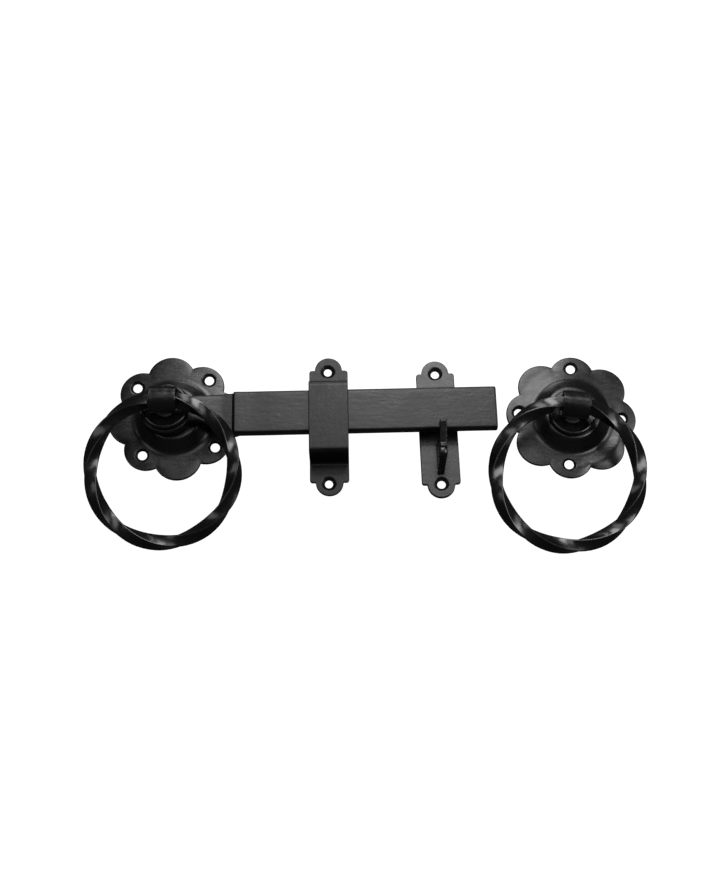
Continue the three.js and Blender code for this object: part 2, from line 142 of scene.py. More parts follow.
STRAP = {"x": 92.9, "y": -5.2, "turn": 1.0}
STRAP_END = {"width": 22.5, "line": 34.6, "radius": 7.9, "hole_shift": (-0.4, -0.8), "hole_radius": 2.3}
STRAP_HOLE_REACH = 34.5
STRAP_BRIDGE_HALF = 21.75
STRAP_TOP_Z = 20.0
STRAP_BEND = 4.0
STRAP_NEAR_BULGE = 0.7  # the near wall stands out by this much, on a tighter bend

CATCH = {"x": 155.9, "y": -7.0, "turn": 2.1}
CATCH_END = {"width": 22.2, "line": 34.1, "radius": 7.9, "hole_shift": (0.1, 0.0), "hole_radius": 2.45}
CATCH_HOLE_REACH = 33.9
CATCH_SHEET = 2.8
HOOK_THICKNESS = 4.0
HOOK_LEAN = 4.5
HOOK_TENON = (-25.5, -13.5)
HOOK_SWELL_Y = -19.4
HOOK_SWELL_Z = 15.9
SKIN = 0.01  # hand-finished surfaces stay this far inside their nominal place

# ---- camera, floor and light ------------------------------------------------------------------

CAMERA_AIM = Vector((108.5, -16.4, 0.0)) * MM
CAMERA_DISTANCE = 0.798
CAMERA_TILT = math.radians(20)
CAMERA_LENS = 55.98
FLOOR_DROP = 0.012
FLOOR_SIDE = 8
FLOOR_GLOW = 0.97
STUDIO_GREY = 0.03
SOFTBOX_DISTANCE = 0.8
SOFTBOXES = (  # name, tilt from the zenith towards +Y and pan towards +X in degrees, side, watts
    ("key", 35, 2.5, 0.34, 2.15),
    ("right", -5, 40, 0.34, 1.5),
    ("back", 72, 0, 0.34, 0.9),
    ("right_top", 15, 40, 0.34, 0.5),
    ("top", 8, 0, 0.30, 0.5),
    ("left", -5, -40, 0.34, 0.40),
)


def make_camera():
    data = bpy.data.cameras.new("camera")
    data.lens = CAMERA_LENS
    data.sensor_width = 36
    data.clip_start = 0.01
    camera = bpy.data.objects.new("camera", data)
    back = Vector((0, -math.sin(CAMERA_TILT), math.cos(CAMERA_TILT)))
    camera.location = CAMERA_AIM + back * CAMERA_DISTANCE
    camera.rotation_euler = (CAMERA_TILT, 0, 0)
    bpy.context.collection.objects.link(camera)
    bpy.context.scene.camera = camera


def make_softbox(name, tilt, pan, side, power):
    """Square area light that looks at the middle of the set; its angles are in degrees."""
    data = bpy.data.lights.new(name, "AREA")
    data.shape = "SQUARE"
    data.size = side
    data.energy = power
    light = bpy.data.objects.new(name, data)
    tilt, pan = math.radians(tilt), math.radians(pan)
    back = Vector((math.sin(pan), math.cos(pan) * math.sin(tilt), math.cos(pan) * math.cos(tilt)))
    light.location = CAMERA_AIM + back * SOFTBOX_DISTANCE
    light.rotation_mode = "QUATERNION"
    light.rotation_quaternion = (-back).to_track_quat("-Z", "Y")
    bpy.context.collection.objects.link(light)


def make_stage():
    """Pale floor that glows evenly and isn't mirrored in the metal, under a dim studio."""
    floor_z = CAD_BOX[0].z - FLOOR_DROP
    bpy.ops.mesh.primitive_plane_add(size=FLOOR_SIDE, location=(CAMERA_AIM.x, CAMERA_AIM.y, floor_z))
    floor = bpy.context.object
    floor.name = "floor"
    material = bpy.data.materials.new("pale_floor")
    material.use_nodes = True
    shader = material.node_tree.nodes["Principled BSDF"]
    shader.inputs["Base Color"].default_value = (*grey(0.3), 1)
    shader.inputs["Roughness"].default_value = 0.9
    shader.inputs["Specular IOR Level"].default_value = 0.1
    shader.inputs["Emission Color"].default_value = (1, 1, 1, 1)
    shader.inputs["Emission Strength"].default_value = FLOOR_GLOW
    floor.data.materials.append(material)
    floor.visible_diffuse = False
    floor.visible_glossy = False

    world = bpy.data.worlds.new("studio")
    bpy.context.scene.world = world
    world.use_nodes = True
    world.node_tree.nodes["Background"].inputs["Color"].default_value = (*grey(STUDIO_GREY), 1)
    bpy.context.scene.view_settings.view_transform = "Standard"


# ---- materials --------------------------------------------------------------------------------

class Nodes:
    """Short way to build a node tree."""

    def __init__(self, material):
        self.tree = material.node_tree
        self.shader = self.tree.nodes["Principled BSDF"]

    def add(self, kind, inputs=None, **settings):
        node = self.tree.nodes.new(kind)
        for key, value in settings.items():
            setattr(node, key, value)
        for key, value in (inputs or {}).items():
            if isinstance(value, bpy.types.NodeSocket):
                self.tree.links.new(value, node.inputs[key])
            else:
                node.inputs[key].default_value = value
        return node

    def ramp(self, factor, stops):
        node = self.add("ShaderNodeValToRGB", {"Fac": factor})
        elements = node.color_ramp.elements
        while len(elements) < len(stops):
            elements.new(0.5)
        for element, (position, colour) in zip(elements, stops):
            element.position = position
            element.color = (*colour, 1)
        return node.outputs["Color"]

    def stretched(self, scale):
        coordinates = self.add("ShaderNodeTexCoord").outputs["Object"]
        return self.add("ShaderNodeMapping", {"Vector": coordinates, "Scale": scale}).outputs["Vector"]


def grey(value, warmth=0.0):
    return (value * (1 + warmth), value, value * (1 - warmth))


def black_paint(name, tones, roughness, gloss, grain, grain_depth, peel, peel_size):
    """Satin black paint over steel: uneven film, drawn grain, orange peel, and a painted highlight that
    lightens sharp edges.

    Tones are the darkest and lightest grey of the film. The grain is a noise scale along each axis,
    peel_size is the noise scale of the orange peel, and grain_depth and peel are bump strengths.
    """
    dark, light = tones
    material = bpy.data.materials.new(name)
    material.use_nodes = True
    nodes = Nodes(material)
    place = nodes.stretched((1, 1, 1))
    film = nodes.add("ShaderNodeTexNoise", {"Vector": place, "Scale": 60, "Detail": 6, "Roughness": 0.6})
    speckle = nodes.add("ShaderNodeTexNoise", {"Vector": place, "Scale": 1100, "Detail": 3})
    streaks = nodes.add(
        "ShaderNodeTexNoise",
        {"Vector": nodes.stretched(grain), "Scale": 1, "Detail": 5, "Roughness": 0.6},
    )
    orange_peel = nodes.add("ShaderNodeTexNoise", {"Vector": place, "Scale": peel_size, "Detail": 3})

    mixed = nodes.add("ShaderNodeMix", {0: 0.45, 2: film.outputs["Fac"], 3: speckle.outputs["Fac"]})
    colour = nodes.ramp(mixed.outputs[0], [(0.36, grey(dark, 0.04)), (0.66, grey(light, -0.02))])
    # Painted highlight: sharp edges (pointiness) are lightened towards grey 0.02 in patches that follow
    # the film noise. This stands in for gloss on rounded edges.
    edge = nodes.add("ShaderNodeNewGeometry").outputs["Pointiness"]
    edge_highlight = nodes.ramp(edge, [(0.54, grey(0)), (0.66, grey(0.8))])
    patchy_edge_highlight = nodes.add("ShaderNodeMath", {0: edge_highlight, 1: film.outputs["Fac"]}, operation="MULTIPLY")
    highlighted_colour = nodes.add(
        "ShaderNodeMix", {0: patchy_edge_highlight.outputs[0], 6: colour, 7: (*grey(0.02), 1)}, data_type="RGBA",
    )
    nodes.tree.links.new(highlighted_colour.outputs[2], nodes.shader.inputs["Base Color"])

    uneven = nodes.add("ShaderNodeMix", {0: 0.5, 2: film.outputs["Fac"], 3: streaks.outputs["Fac"]})
    sheen = nodes.add(
        "ShaderNodeMapRange",
        {"Value": uneven.outputs[0], "From Min": 0.35, "From Max": 0.65,
         "To Min": roughness - 0.05, "To Max": roughness + 0.08},
    )
    nodes.tree.links.new(sheen.outputs[0], nodes.shader.inputs["Roughness"])
    nodes.shader.inputs["Specular IOR Level"].default_value = gloss

    bump = nodes.add(
        "ShaderNodeBump",
        {"Height": streaks.outputs["Fac"], "Strength": grain_depth, "Distance": 0.16 * MM},
    )
    bump = nodes.add(
        "ShaderNodeBump",
        {"Height": orange_peel.outputs["Fac"], "Strength": peel, "Distance": 0.14 * MM,
         "Normal": bump.outputs[0]},
    )
    nodes.tree.links.new(bump.outputs[0], nodes.shader.inputs["Normal"])
    return material


def plated_steel(name):
    """Dull zinc plate with soft spangle and fine turning marks."""
    material = bpy.data.materials.new(name)
    material.use_nodes = True
    nodes = Nodes(material)
    place = nodes.stretched((1, 1, 1))
    cloud = nodes.add("ShaderNodeTexNoise", {"Vector": place, "Scale": 180, "Detail": 5})
    turned_place = nodes.stretched((300, 300, 2600))
    marks = nodes.add("ShaderNodeTexNoise", {"Vector": turned_place, "Scale": 1, "Detail": 3})
    colour = nodes.ramp(cloud.outputs["Fac"], [(0.35, (0.36, 0.36, 0.35)), (0.7, (0.56, 0.56, 0.54))])
    nodes.tree.links.new(colour, nodes.shader.inputs["Base Color"])
    nodes.shader.inputs["Metallic"].default_value = 1.0
    rough = nodes.add(
        "ShaderNodeMapRange", {"Value": cloud.outputs["Fac"], "To Min": 0.3, "To Max": 0.55},
    )
    nodes.tree.links.new(rough.outputs[0], nodes.shader.inputs["Roughness"])
    bump = nodes.add(
        "ShaderNodeBump", {"Height": marks.outputs["Fac"], "Strength": 0.25, "Distance": 0.05 * MM},
    )
    nodes.tree.links.new(bump.outputs[0], nodes.shader.inputs["Normal"])
    return material


# name, tones, roughness, gloss, grain, grain depth, peel, peel size
PRESSED = black_paint("pressed_black", (0.005, 0.010), 0.27, 0.68, (130, 480, 480), 0.28, 0.22, 420)
STRIP = black_paint("strip_black", (0.005, 0.010), 0.28, 0.34, (520, 130, 520), 0.40, 0.30, 420)
BAR = black_paint("bar_black", (0.006, 0.013), 0.30, 0.45, (110, 520, 520), 0.50, 0.42, 380)
FORGED = black_paint("forged_black", (0.004, 0.009), 0.24, 0.75, (420, 420, 420), 0.10, 0.08, 500)
RING = black_paint("ring_black", (0.004, 0.009), 0.21, 0.82, (300, 300, 300), 0.06, 0.03, 700)
PLATED = plated_steel("plated_steel")

# ---- mesh helpers -----------------------------------------------------------------------------


def mesh_object(name, points, faces):
    """Object from points in millimetres."""
    mesh = bpy.data.meshes.new(name)
    mesh.from_pydata([tuple(c * MM for c in p) for p in points], [], faces)
    mesh.update()
    made = bpy.data.objects.new(name, mesh)
    bpy.context.collection.objects.link(made)
    tidy = bmesh.new()
    tidy.from_mesh(mesh)
    bmesh.ops.remove_doubles(tidy, verts=tidy.verts, dist=1e-6)
    bmesh.ops.recalc_face_normals(tidy, faces=tidy.faces)
    tidy.to_mesh(mesh)
    tidy.free()
    return made


def arc(centre, radius, start, end, steps):
    """Points on an arc, with its angles in degrees."""
    angles = [math.radians(start + (end - start) * i / steps) for i in range(steps + 1)]
    return [(centre[0] + radius * math.cos(a), centre[1] + radius * math.sin(a)) for a in angles]


def rounded_outline(corners, steps=6):
    """Outline through corners (x, y, radius); each corner is rounded by its own radius."""
    outline = []
    for i, (x, y, radius) in enumerate(corners):
        corner = Vector((x, y))
        back = (Vector(corners[i - 1][:2]) - corner).normalized()
        ahead = (Vector(corners[(i + 1) % len(corners)][:2]) - corner).normalized()
        if radius == 0:
            outline.append((x, y))
            continue
        reach = radius / math.tan(back.angle(ahead) / 2)
        start, end = corner + back * reach, corner + ahead * reach
        for step in range(steps + 1):
            t = step / steps
            point = start * (1 - t) ** 2 + corner * 2 * t * (1 - t) + end * t ** 2
            outline.append(tuple(point))
    return outline


TO_PLAN = Matrix(((1, 0, 0), (0, 1, 0), (0, 0, 1)))
TO_YZ = Matrix(((0, 0, 1), (1, 0, 0), (0, 1, 0)))
TO_XZ = Matrix(((1, 0, 0), (0, 0, -1), (0, 1, 0)))


def prism(name, outline, low, high, axes=TO_PLAN):
    """Outline swept from low to high; axes says which way the outline lies."""
    count = len(outline)
    points = [tuple(axes @ Vector((u, v, level))) for level in (low, high) for u, v in outline]
    faces = [tuple(range(count - 1, -1, -1)), tuple(range(count, 2 * count))]
    for i in range(count):
        j = (i + 1) % count
        faces.append((i, j, count + j, count + i))
    return mesh_object(name, points, faces)


def turned(name, profile, segments=96, closed=False):
    """Profile of (radius, z) turned about Z. A closed profile joins its last point to its first."""
    points, faces = [], []
    for i in range(segments):
        a = 2 * math.pi * i / segments
        points += [(r * math.cos(a), r * math.sin(a), z) for r, z in profile]
    count = len(profile)
    for i in range(segments):
        here, there = i * count, (i + 1) % segments * count
        for k in range(count if closed else count - 1):
            m = (k + 1) % count
            faces.append((here + k, there + k, there + m, here + m))
    made = mesh_object(name, points, faces)
    drop_flat_faces(made)
    return made


def drop_flat_faces(made):
    """Removes faces that have shrunk to a line at the axis."""
    tidy = bmesh.new()
    tidy.from_mesh(made.data)
    bmesh.ops.dissolve_degenerate(tidy, dist=1e-7, edges=tidy.edges)
    bmesh.ops.recalc_face_normals(tidy, faces=tidy.faces)
    tidy.to_mesh(made.data)
    tidy.free()


def settle(made):
    """Applies the modifiers of an object to its mesh."""
    graph = bpy.context.evaluated_depsgraph_get()
    fresh = bpy.data.meshes.new_from_object(made.evaluated_get(graph))
    made.modifiers.clear()
    made.data = fresh


def combine(made, tool, operation):
    """Boolean of made with tool; the tool is used up."""
    modifier = made.modifiers.new("combine", "BOOLEAN")
    modifier.object = tool
    modifier.operation = operation
    modifier.solver = "EXACT"
    settle(made)
    bpy.data.objects.remove(tool)


def soften(made, width, segments=3, angle=32):
    """Rounds the sharp edges by width, in millimetres."""
    flat = bmesh.new()
    flat.from_mesh(made.data)
    bmesh.ops.remove_doubles(flat, verts=flat.verts, dist=2e-6)
    bmesh.ops.dissolve_limit(flat, angle_limit=math.radians(0.4), verts=flat.verts, edges=flat.edges)
    flat.to_mesh(made.data)
    flat.free()
    modifier = made.modifiers.new("rounded_edges", "BEVEL")
    modifier.width = width * MM
    modifier.segments = segments
    modifier.limit_method = "ANGLE"
    modifier.angle_limit = math.radians(angle)
    modifier.use_clamp_overlap = False
    modifier.miter_outer = "MITER_ARC"
    settle(made)


def place_at(made, x, y, turn, z=0.0):
    """Moves the mesh itself, so that the object stays at the origin."""
    shift = Matrix.Translation(Vector((x, y, z)) * MM)
    made.data.transform(shift @ Matrix.Rotation(math.radians(turn), 4, "Z"))


def rough_up(made, height, scale, seed):
    """Hollows of a hand-finished surface, about height deep at most; both sizes in millimetres."""
    mesh = made.data
    offset = Vector((seed * 7.3, seed * 3.1, seed * 1.7))
    normals = [vertex.normal.copy() for vertex in mesh.vertices]
    for vertex, normal in zip(mesh.vertices, normals):
        swell = noise.noise(vertex.co / (scale * MM) + offset)
        depth = ((swell - 1) / 2 * height - SKIN) * MM
        vertex.co += normal * depth
    mesh.update()


def slice_across(made, axis, positions):
    """Cuts extra edge loops across a mesh, so that its long faces can be shaped; millimetres."""
    cuts = bmesh.new()
    cuts.from_mesh(made.data)
    normal = Vector([1.0 if i == axis else 0.0 for i in range(3)])
    for position in positions:
        geometry = cuts.verts[:] + cuts.edges[:] + cuts.faces[:]
        place = normal * position * MM
        bmesh.ops.bisect_plane(cuts, geom=geometry, plane_co=place, plane_no=normal, dist=1e-6)
    cuts.to_mesh(made.data)
    cuts.free()


def finish_piece(made, node, body, material, smooth_angle=38):
    """Gives a piece its shading, material, slot and body, and hides the frame node that it stands for.
    """
    mesh = made.data
    for polygon in mesh.polygons:
        polygon.use_smooth = True
    mesh.set_sharp_from_angle(angle=math.radians(smooth_angle))
    weighted = made.modifiers.new("weighted_normals", "WEIGHTED_NORMAL")
    weighted.keep_sharp = True
    settle(made)
    made.data.materials.clear()
    made.data.materials.append(material)
    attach(made, body)
    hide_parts(node)


def screw_hole(x, y, sheet, radius=SCREW_HOLE_RADIUS):
    """Cutter for a countersunk hole whose lip is slightly rounded."""
    lip = 0.25
    spread = (COUNTERSINK_RADIUS - radius) / COUNTERSINK_DEPTH
    cutter = turned("hole", [
        (0, -1), (radius + 0.35, -1), (radius + 0.3, -0.02), (radius, lip),
        (radius, sheet - COUNTERSINK_DEPTH - 0.1),
        (radius + 0.08, sheet - COUNTERSINK_DEPTH + 0.08),
        (COUNTERSINK_RADIUS - lip * spread, sheet - lip),
        (COUNTERSINK_RADIUS - 0.02, sheet - 0.1),
        (COUNTERSINK_RADIUS + 0.4, sheet + 0.02),
        (COUNTERSINK_RADIUS + 0.5, sheet + 1), (0, sheet + 1),
    ], segments=48)
    place_at(cutter, x, y, 0)
    return cutter


# ---- roses ------------------------------------------------------------------------------------


def ease(value, low, high):
    """0 before low, 1 after high, smooth between."""
    t = min(max((value - low) / (high - low), 0), 1)
    return t * t * (3 - 2 * t)


def lobe_shape(drilled):
    """Radius and centre distance of a lobe's arc, and the half angle that it fills."""
    tip = DRILLED_TIP_RADIUS if drilled else PLAIN_TIP_RADIUS
    half = DRILLED_HALF_ANGLE if drilled else 2 * math.pi / LOBES - DRILLED_HALF_ANGLE
    along = CUSP_RADIUS * math.cos(half)
    across = CUSP_RADIUS * math.sin(half)
    radius = ((tip - along) ** 2 + across ** 2) / (2 * (tip - along))
    return radius, tip - radius, half


def rose_reach(angle):
    """Distance from the middle to the rim, at an angle from the first drilled lobe."""
    pitch = 2 * math.pi / LOBES
    folded = abs((angle + pitch) % (2 * pitch) - pitch)
    drilled = folded <= DRILLED_HALF_ANGLE
    off_axis = folded if drilled else pitch - folded
    radius, centre, _ = lobe_shape(drilled)
    return centre * math.cos(off_axis) + math.sqrt(radius ** 2 - (centre * math.sin(off_axis)) ** 2)


def rose_angles():
    """Angles round the rose, even within each lobe so that every cusp has a point of its own."""
    angles = []
    pitch = 2 * math.pi / LOBES
    for lobe in range(LOBES):
        half = lobe_shape(lobe % 2 == 0)[2]
        steps = 30
        angles += [lobe * pitch - half + 2 * half * i / steps for i in range(steps)]
    return angles


def rose_profile(reach):
    """Section of the pressing from the bore to a rim at reach, and back along the underside."""
    crest, foot, rim = DOME_CREST_RADIUS, DOME_FOOT_RADIUS, 0.75
    top, bore = DOME_CREST_Z, ROSE_BORE_RADIUS
    profile = [
        (bore, top - 0.35), (bore + 0.35, top), (crest - 2.2, top + 0.02), (crest - 1.1, top),
        (crest - 0.35, top - 0.12), (crest + 0.25, top - 0.45), (crest + 0.95, top - 1.1),
        (crest + 2.0, top - 2.1), (crest + 3.4, top - 3.5), (crest + 4.7, top - 4.7),
        (foot - 1.9, SHEET + 1.0), (foot - 1.0, SHEET + 0.42), (foot, SHEET + 0.12), (foot + 1.2, SHEET),
    ]
    inner, flange_steps, rim_fall = foot + 1.2, 14, 0.28
    for step in range(1, flange_steps):
        share = step / flange_steps
        profile.append((inner + (reach - rim - inner) * share, SHEET - rim_fall * share ** 3))
    edge_z = SHEET - rim_fall - rim
    for turn in (0, 25, 50, 72, 90):
        bend = math.radians(turn)
        profile.append((reach - rim + rim * math.sin(bend), edge_z + rim * math.cos(bend)))
    profile += [
        (reach - 0.05, 0.25), (reach - 0.3, 0.0), ((reach + foot) / 2, 0.0),
        (foot - 2.2, 0.0), (foot - 3.0, 0.25), (foot - 3.8, 1.0), (crest + 0.2, 4.9),
        (crest - 0.9, 6.1), (crest - 1.9, DOME_UNDERSIDE_Z), (bore, DOME_UNDERSIDE_Z),
    ]
    return profile


def rose_lift(rose, angle, radius, reach):
    """How far the sheet is pressed out of true, at an angle from the first drilled lobe."""
    foot = DOME_FOOT_RADIUS
    facing = math.cos(angle + math.radians(rose["turn"] - rose["lean"]))
    round_foot = ease(radius, DOME_CREST_RADIUS + 1, foot) * (1 - ease(radius, foot + 0.5, foot + 9))
    curl = rose["curl"] * max(0, -facing) ** 3 * ease(radius, foot + 7, reach)
    return rose["press"] * facing * round_foot - curl


def make_rose(name, rose, seed):
    flat_back_z = SHEET - 1.1  # nothing below this moves, so that the back stays flat
    points, faces = [], []
    angles = rose_angles()
    for angle in angles:
        reach = rose_reach(angle)
        profile = rose_profile(reach)
        for radius, z in profile:
            if z > flat_back_z:
                z += rose_lift(rose, angle, radius, reach)
            points.append((radius * math.cos(angle), radius * math.sin(angle), z))
    count = len(profile)
    for i in range(len(angles)):
        here, there = i * count, (i + 1) % len(angles) * count
        for k in range(count):
            m = (k + 1) % count
            faces.append((here + k, there + k, there + m, here + m))
    made = mesh_object(name + "_pressing", points, faces)
    shift = Vector(rose["hole_shift"])
    shift.rotate(Matrix.Rotation(-math.radians(rose["turn"]), 2))
    for hole in range(LOBES // 2):
        angle = hole * 4 * math.pi / LOBES
        reach = ROSE_HOLE_CIRCLE / 2
        place = (shift.x + reach * math.cos(angle), shift.y + reach * math.sin(angle))
        combine(made, screw_hole(*place, SHEET), "DIFFERENCE")
    rough_up(made, 0.07, 7, seed)
    place_at(made, rose["x"], rose["y"], rose["turn"])
    finish_piece(made, name, "fixed_plates", PRESSED)


# ---- latch bar --------------------------------------------------------------------------------


def bar_section(x):
    """Lower and upper edge, bottom and top of the forging at x."""
    half = BAR_WIDTH / 2
    if x < HUB_RADIUS:
        chord = math.sqrt(max(HUB_RADIUS ** 2 - x ** 2, 0))
        reach = max(chord, ARM_HALF_WIDTH) if x > 0 else chord
        blend = ease(x, HUB_RADIUS - 4, HUB_RADIUS)
        high = reach * (1 - blend) + ARM_HALF_WIDTH * blend
        low = -high
    else:
        flare = ease(x, 17, STEP_X + 1)
        low = -ARM_HALF_WIDTH * (1 - flare) + (BAR_OFFSET_Y - half) * flare
        high = ARM_HALF_WIDTH * (1 - flare) + (BAR_OFFSET_Y + half) * flare
    dip = STEP_DIP * ease(x, 14, 33)
    rise = ease(x, STEP_X - 1.7, STEP_X - 0.2)
    hump = STEP_HUMP * math.exp(-((x - STEP_X) / STEP_HUMP_LENGTH) ** 2)
    top = BAR_TOP_Z - dip * (1 - rise) + hump * rise
    bottom = BAR_BOTTOM_Z - STEP_DIP * (ease(x, 21, 34) - ease(x, STEP_X - 1, STEP_X + 3))
    return low, high, bottom, top


def bar_stations():
    """Places along the bar where it is given a section: close together at the hub, step and end."""
    stations = [-HUB_RADIUS * math.cos(math.radians(a)) for a in range(0, 90, 5)]
    stations += [float(i) for i in range(int(STEP_X) - 3)]
    stations += [STEP_X - 3 + 0.2 * i for i in range(30)]
    stations += [STEP_X + 3.5 + 4 * i for i in range(36)]
    return stations + [BAR_END_X - edge for edge in (1.2, 0.7, 0.35, 0.12, 0.0)]


def bar_outline(x):
    """Rounded section of the bar at x, with extra points along its broad faces."""
    low, high, bottom, top = bar_section(x)
    if x > BAR_END_X - BAR_END_ROUNDING:
        into = x - BAR_END_X + BAR_END_ROUNDING
        sunk = 0.55 * (BAR_END_ROUNDING - math.sqrt(BAR_END_ROUNDING ** 2 - into ** 2))
        low, high, bottom, top = low + sunk, high - sunk, bottom + sunk, top - sunk
    high = max(high, low + 0.02)
    far, near, under = (min(BAR_CORNERS[c], (high - low) * 0.45) for c in ("far", "near", "under"))
    corner_steps = 5
    corners = [
        arc((high - far, top - far), far, 0, 90, corner_steps),
        arc((low + near, top - near), near, 90, 180, corner_steps),
        arc((low + under, bottom + under), under, 180, 270, corner_steps),
        arc((high - under, bottom + under), under, 270, 360, corner_steps),
    ]
    outline = []
    for i, corner in enumerate(corners):
        outline += corner
        start, end = corner[-1], corners[(i + 1) % 4][0]
        pieces = 10 if i in (0, 2) else 3
        for k in range(1, pieces):
            share = k / pieces
            outline.append(tuple(a + (b - a) * share for a, b in zip(start, end)))
    return outline


def make_latch_bar():
    stations = bar_stations()
    points, faces = [], []
    for x in stations:
        outline = bar_outline(x)
        points += [(x, y, z) for y, z in outline]
    count = len(outline)
    for i in range(len(stations) - 1):
        for k in range(count):
            m = (k + 1) % count
            faces.append((i * count + k, i * count + m, (i + 1) * count + m, (i + 1) * count + k))
    faces.append(tuple(range(count)))
    faces.append(tuple(range((len(stations) - 1) * count, len(stations) * count)))
    made = mesh_object("latch_bar_forging", points, faces)
    rough_up(made, 0.12, 16, 1)
    bore = turned("bore", [(0, 0), (HUB_BORE_RADIUS, 0), (HUB_BORE_RADIUS, 30), (0, 30)])
    combine(made, bore, "DIFFERENCE")
    place_at(made, 0, 0, BAR_TILT)
    finish_piece(made, "latch_bar", "latch", BAR, smooth_angle=50)


# ---- handles ----------------------------------------------------------------------------------


def make_collar(side, handle):
    """Dished collar with a rounded rim."""
    rim, tall, bore = COLLAR_RADIUS, COLLAR_HEIGHT, JOURNAL_RADIUS + 0.3
    profile = [
        (bore, 0.1), (rim - 1.2, 0.0), (rim - 0.6, 0.12), (rim - 0.2, 0.5), (rim, 1.0),
        (rim - 0.02, 1.8), (rim - 0.12, 2.4), (rim - 0.4, 2.95), (rim - 0.85, 3.28), (rim - 1.3, tall),
        (rim - 1.65, tall - 0.03), (rim - 1.95, tall - 0.12), (rim - 3.2, tall - 0.3),
        (rim - 4.6, tall - 0.42), (bore + 0.6, tall - 0.5), (bore, tall - 0.6),
    ]
    made = turned(f"{side}_collar_dish", profile, closed=True)
    rough_up(made, 0.08, 6, 3)
    place_at(made, handle["x"], handle["y"], handle["turn"], handle["collar_z"])
    finish_piece(made, f"{side}_collar", handle["body"], FORGED)


def place_with(made, handle):
    """Puts a piece that was made about Z at its handle."""
    place_at(made, handle["x"], handle["y"], handle["turn"])


def make_knuckle(side, handle, seed):
    """Strip rolled into a knuckle: its free end makes a ledge at the lower front."""
    eye_z = handle["eye_z"]
    foot = handle["collar_z"] + COLLAR_HEIGHT - 1.3 - eye_z
    half = NECK_WIDTH / 2
    outline = [(-half, foot), (half, foot), (half + 0.7, -6.2), (half + 1.1, -5.2)]
    outline += arc((0, 0), EYE_RADIUS, -40, 222, 46)
    outline += [(-half - 0.75, -5.95), (-half - 0.1, -5.75), (-half, -6.3)]
    made = prism(f"{side}_eye_knuckle", outline, -EYE_LENGTH / 2, EYE_LENGTH / 2, TO_YZ)
    wide, narrow, top = EYE_LENGTH / 2, NECK_FOOT_LENGTH / 2, EYE_RADIUS + 1
    front = rounded_outline([
        (-narrow, foot - 1, 0), (narrow, foot - 1, 0), (narrow + 0.4, foot + 1.6, 1.5),
        (wide, foot + 4.2, 2.2), (wide, top, 0), (-wide, top, 0), (-wide, foot + 4.2, 2.2),
        (-narrow - 0.4, foot + 1.6, 1.5),
    ])
    combine(made, prism("front", front, -20, 20, TO_XZ), "INTERSECT")
    bore = prism("bore", arc((0, 0), EYE_BORE_RADIUS, 0, 354, 59), -20, 20, TO_YZ)
    combine(made, bore, "DIFFERENCE")
    soften(made, 0.5)
    slice_across(made, 0, [0.9 * i for i in range(-8, 9)])
    rough_up(made, 0.16, 4.0, seed)
    place_at(made, 0, 0, 0, eye_z)
    place_with(made, handle)
    finish_piece(made, f"{side}_eye", handle["body"], FORGED)


def make_shank(side, handle):
    """Plated journal of an eye: a clip groove near its foot, and a square socket up its middle."""
    groove_low, groove_high = CLIP["bottom"] - 0.3, CLIP["bottom"] + CLIP["thickness"] + 0.3
    top = handle["collar_z"] + COLLAR_HEIGHT - 1.0
    shank = turned(f"{side}_shank", [
        (0, JOURNAL_FOOT_Z), (JOURNAL_RADIUS - 0.3, JOURNAL_FOOT_Z),
        (JOURNAL_RADIUS, JOURNAL_FOOT_Z + 0.15), (JOURNAL_RADIUS, groove_low),
        (CLIP_GROOVE_RADIUS, groove_low), (CLIP_GROOVE_RADIUS, groove_high),
        (JOURNAL_RADIUS, groove_high), (JOURNAL_RADIUS, top), (0, top),
    ], segments=64)
    half = SOCKET_SIDE / 2
    square = rounded_outline([
        (-half, -half, 0.3), (half, -half, 0.3), (half, half, 0.3), (-half, half, 0.3),
    ])
    combine(shank, prism("socket", square, -1, SOCKET_TOP_Z), "DIFFERENCE")
    place_with(shank, handle)
    finish_piece(shank, f"{side}_eye", handle["body"], PLATED)


def ring_section():
    """Section of the ring's square bar: slightly hollow faces and rounded corners."""
    half = RING_BAR_SIDE / 2
    corner, hollow = 0.75, 0.12
    face = [(half - hollow * (1 - (v / 2.6) ** 2), v) for v in (-2.1, -1.1, 0, 1.1, 2.1)]
    edge = [
        (half - corner + corner * math.cos(a), half - corner + corner * math.sin(a))
        for a in (math.radians(d) for d in (4, 25, 45, 65, 86))
    ]
    section = []
    for quarter in range(4):
        cos, sin = math.cos(quarter * math.pi / 2), math.sin(quarter * math.pi / 2)
        section += [(u * cos - v * sin, u * sin + v * cos) for u, v in face + edge]
    return section


def make_ring(side, handle):
    """Ring of square bar, twisted unevenly by hand, with softened corners."""
    section = ring_section()
    steps, count = 300, len(section)
    phase, uneven_at = math.radians(handle["twist_phase"]), math.radians(handle["uneven_at"])
    points, faces = [], []
    for step in range(steps):
        turn = 2 * math.pi * step / steps
        twist = phase + RING_TWISTS * turn + TWIST_UNEVEN * math.cos(turn - uneven_at)
        for u, v in section:
            reach = RING_RADIUS + u * math.cos(twist) - v * math.sin(twist)
            upward = u * math.sin(twist) + v * math.cos(twist)
            points.append((reach * math.cos(turn), reach * math.sin(turn) - RING_HANG, upward))
        following = (step + 1) % steps
        for k in range(count):
            m = (k + 1) % count
            faces.append((
                step * count + k, step * count + m,
                following * count + m, following * count + k,
            ))
    made = mesh_object(f"{side}_twisted_ring", points, faces)
    rough_up(made, 0.14, 9, 5)
    made.data.transform(Matrix.Rotation(math.radians(handle["droop"]), 4, "X"))
    place_at(made, 0, 0, handle["ring_yaw"])
    place_at(made, handle["x"], handle["y"], handle["turn"], handle["eye_z"])
    finish_piece(made, f"{side}_ring", handle["ring_body"], RING, smooth_angle=60)


